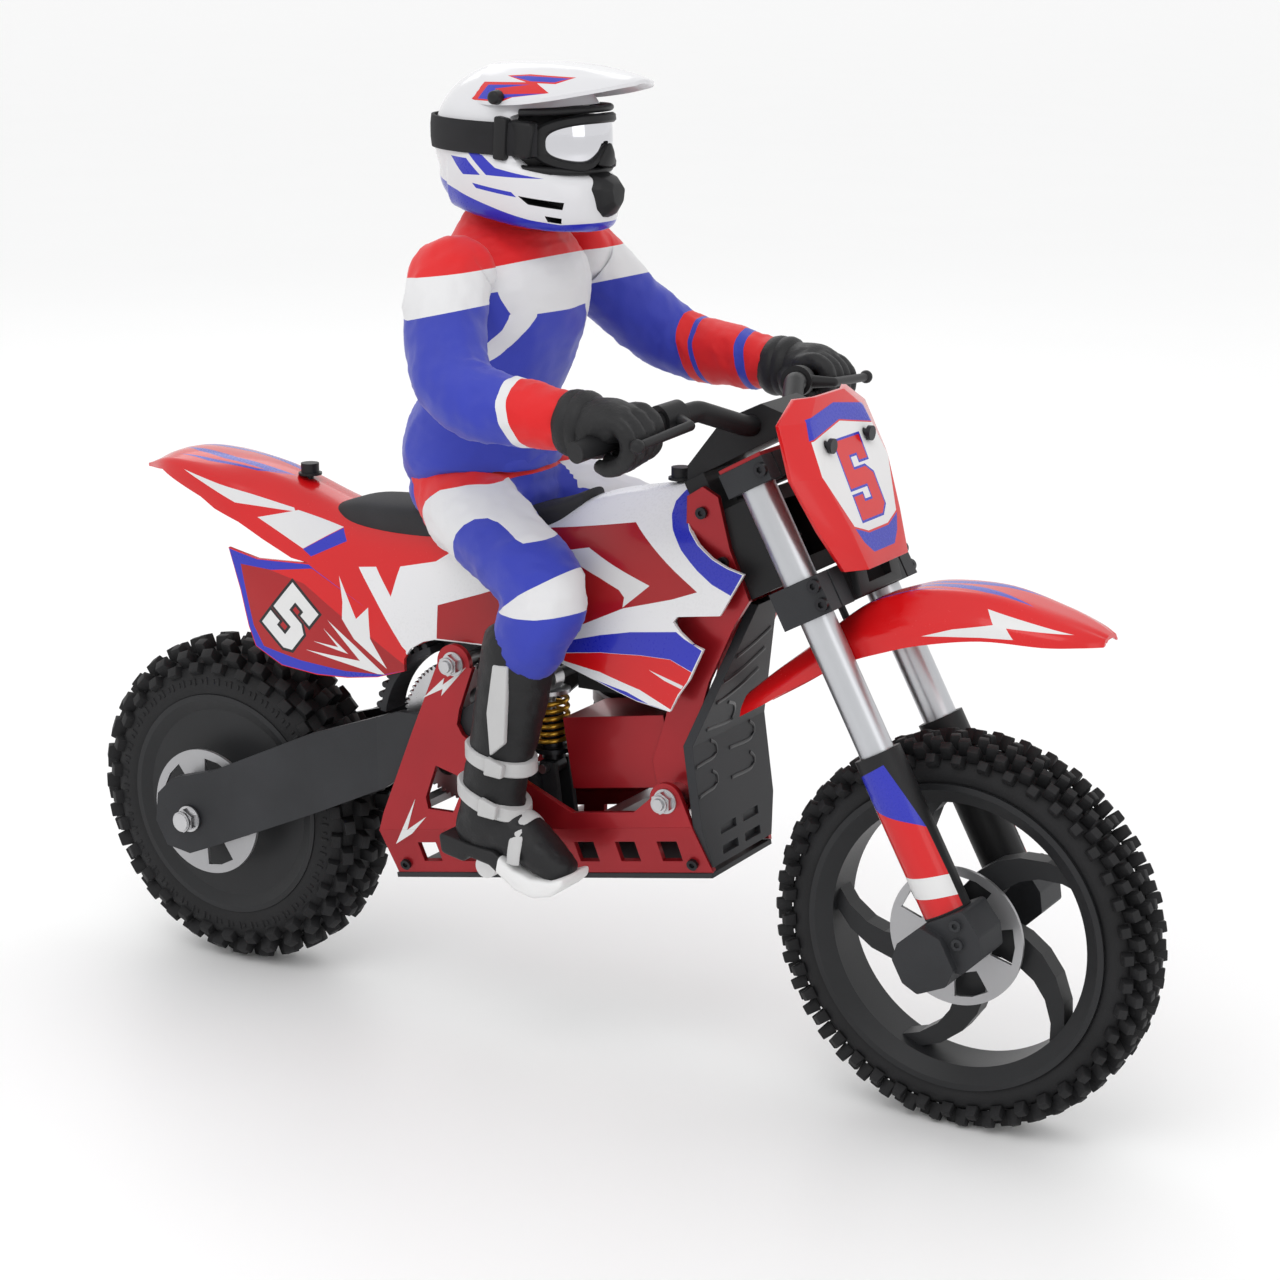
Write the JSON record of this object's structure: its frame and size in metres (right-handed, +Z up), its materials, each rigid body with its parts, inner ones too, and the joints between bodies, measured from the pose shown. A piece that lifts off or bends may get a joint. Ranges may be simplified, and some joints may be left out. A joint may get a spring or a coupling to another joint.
{
  "type": "radio controlled motorcycle",
  "caption": "Model dirt bike with a rider figure: folded side plates, sprung fork and swingarm, chain drive, steering servo and a balance wheel inside the rear wheel.",
  "frame": {"origin": "on the ground below the middle of the bike's length, in its plane of symmetry", "axes": "+X towards the front wheel, +Y to the bike's left, +Z up"},
  "size_m": [0.5184, 0.206, 0.4125],
  "materials": {
    "grey_plastic": "satin, fine grain",
    "dark_plastic": "satin",
    "white_plastic": "smooth",
    "battery_wrap": "shrink wrap",
    "red_metal": "satin anodised red",
    "body_plastic": "gloss red with white and blue panels",
    "fender_plastic": "gloss red with white and blue panels",
    "number_plate": "gloss red with a white field",
    "steel": "machined",
    "chain_steel": "oiled, dark",
    "motor_steel": "satin black",
    "screw_steel": "blackened",
    "silver_tube": "polished",
    "fork_leg_plastic": "gloss black with a coloured decal band",
    "disc_steel": "turned",
    "gear_steel": "dark",
    "flywheel_steel": "machined",
    "dark_metal": "satin black",
    "gold_spring": "gold coloured",
    "tyre": "matte rubber",
    "seat_pad": "matte, soft grip",
    "helmet_shell": "gloss white with blue and red graphics",
    "mirror_lens": "mirrored",
    "jersey": "moulded figure, blue, white and red",
    "trousers": "moulded figure, blue, white and red",
    "boot": "moulded figure, black with light buckles",
    "glove": "moulded figure, black"
  },
  "bodies": {
    "chassis": {"frame_plates": "red_metal", "neck_plates": "red_metal", "frame_rods": "steel", "frame_nuts": "steel", "frame_screws": "screw_steel", "guard_plate": "grey_plastic", "skid_plate": "grey_plastic", "side_pucks": "white_plastic", "head_housing": "dark_plastic", "bar_mount": "dark_plastic", "handlebar": "dark_plastic", "brake_levers": "dark_plastic", "drive_motor": "motor_steel", "gear_case": "grey_plastic", "battery": "battery_wrap", "battery_bracket": "red_metal", "electronics": "dark_plastic", "body_shell": "body_plastic", "seat": "seat_pad", "body_mounts": "dark_plastic", "rider_torso": "jersey", "rider_arms": "jersey", "rider_gloves": "glove", "rider_pants": "trousers", "rider_boots": "boot", "helmet": "helmet_shell", "helmet_visor": "helmet_shell", "goggles": "dark_plastic", "goggle_lens": "mirror_lens", "mouth_vent": "dark_plastic"},
    "steering": {"steering_stem": "steel", "fork_clamps": "grey_plastic", "clamp_top_plate": "red_metal", "fork_tubes": "silver_tube", "steering_screws": "screw_steel", "number_plate": "number_plate", "front_fender": "fender_plastic"},
    "fork_lower": {"fork_legs": "fork_leg_plastic", "fork_springs": "steel", "axle_blocks": "grey_plastic", "front_axle": "steel"},
    "front_wheel": {"front_rim": "grey_plastic", "front_tyre": "tyre", "front_disc": "disc_steel"},
    "swing": {"swingarm": "grey_plastic", "rear_axle": "steel", "drive_chain": "chain_steel"},
    "rear_wheel": {"rear_rim": "grey_plastic", "rear_tyre": "tyre", "rear_disc": "disc_steel", "rear_sprocket": "steel"},
    "balance_wheel": {"gyro_flywheel": "flywheel_steel"},
    "gear_shaft": {"spur_gear": "gear_steel", "countershaft": "steel"},
    "motor_rotor": {"motor_pinion": "steel"},
    "shock_lower": {"shock_body": "dark_metal", "shock_spring": "gold_spring"},
    "shock_upper": {"shock_rod": "steel"},
    "servo_arm": {"servo_horn": "dark_plastic"},
    "steering_link": {"drag_link": "dark_plastic"}
  },
  "joints": [
    {"name": "steer", "type": "hinge", "parent": "chassis", "child": "steering", "pos_m": [0.09594, 0, 0.22914], "axis": [-0.4726, 0, 0.8813], "range_deg": [-30, 30]},
    {"name": "fork_slide", "type": "slide", "parent": "steering", "child": "fork_lower", "axis": [-0.4726, 0, 0.8813], "range_m": [0, 0.025], "stiffness_N_per_m": 900, "springref_m": -0.03, "deforming": ["fork_springs"]},
    {"name": "front_wheel_spin", "type": "hinge", "parent": "fork_lower", "child": "front_wheel", "pos_m": [0.1792, 0, 0.07998], "axis": [0, 1, 0], "continuous": true},
    {"name": "swingarm_pivot", "type": "hinge", "parent": "chassis", "child": "swing", "pos_m": [-0.05, 0, 0.131], "axis": [0, 1, 0], "range_deg": [0, 12], "stiffness_Nm_per_rad": 18, "springref_deg": -14.32},
    {"name": "rear_wheel_spin", "type": "hinge", "parent": "swing", "child": "rear_wheel", "pos_m": [-0.18275, 0, 0.0765], "axis": [0, 1, 0], "continuous": true},
    {"name": "balance_wheel_spin", "type": "hinge", "parent": "swing", "child": "balance_wheel", "pos_m": [-0.18275, 0, 0.0765], "axis": [0, 1, 0], "continuous": true},
    {"name": "gear_shaft_spin", "type": "hinge", "parent": "chassis", "child": "gear_shaft", "pos_m": [-0.05, 0, 0.131], "axis": [0, 1, 0], "continuous": true},
    {"name": "motor_spin", "type": "hinge", "parent": "chassis", "child": "motor_rotor", "pos_m": [-0.0308, 0, 0.09774], "axis": [0, 1, 0], "continuous": true},
    {"name": "shock_tilt", "type": "hinge", "parent": "chassis", "child": "shock_lower", "pos_m": [-0.014, 0, 0.118], "axis": [0, 1, 0], "range_deg": [0, 7.8]},
    {"name": "shock_slide", "type": "slide", "parent": "shock_lower", "child": "shock_upper", "axis": [-0.0526, 0, 0.9986], "range_m": [-0.0078, 0], "deforming": ["shock_spring"]},
    {"name": "servo_turn", "type": "hinge", "parent": "chassis", "child": "servo_arm", "pos_m": [0.06421, 0, 0.21213], "axis": [-0.4726, 0, 0.8813], "range_deg": [-30, 30]},
    {"name": "link_swing", "type": "hinge", "parent": "servo_arm", "child": "steering_link", "pos_m": [0.06586, 0.0085, 0.20904], "axis": [-0.4726, 0, 0.8813], "range_deg": [-30, 30]}
  ],
  "couplings": [
    {"joint": "gear_shaft_spin", "follows": "rear_wheel_spin", "ratio": 2.2727},
    {"joint": "motor_spin", "follows": "rear_wheel_spin", "ratio": -8.6364},
    {"joint": "shock_tilt", "follows": "swingarm_pivot", "ratio": 0.636},
    {"joint": "shock_slide", "follows": "swingarm_pivot", "m_per_rad": -0.03614},
    {"joint": "servo_turn", "follows": "steer", "ratio": 1},
    {"joint": "link_swing", "follows": "steer", "ratio": -1}
  ]
}
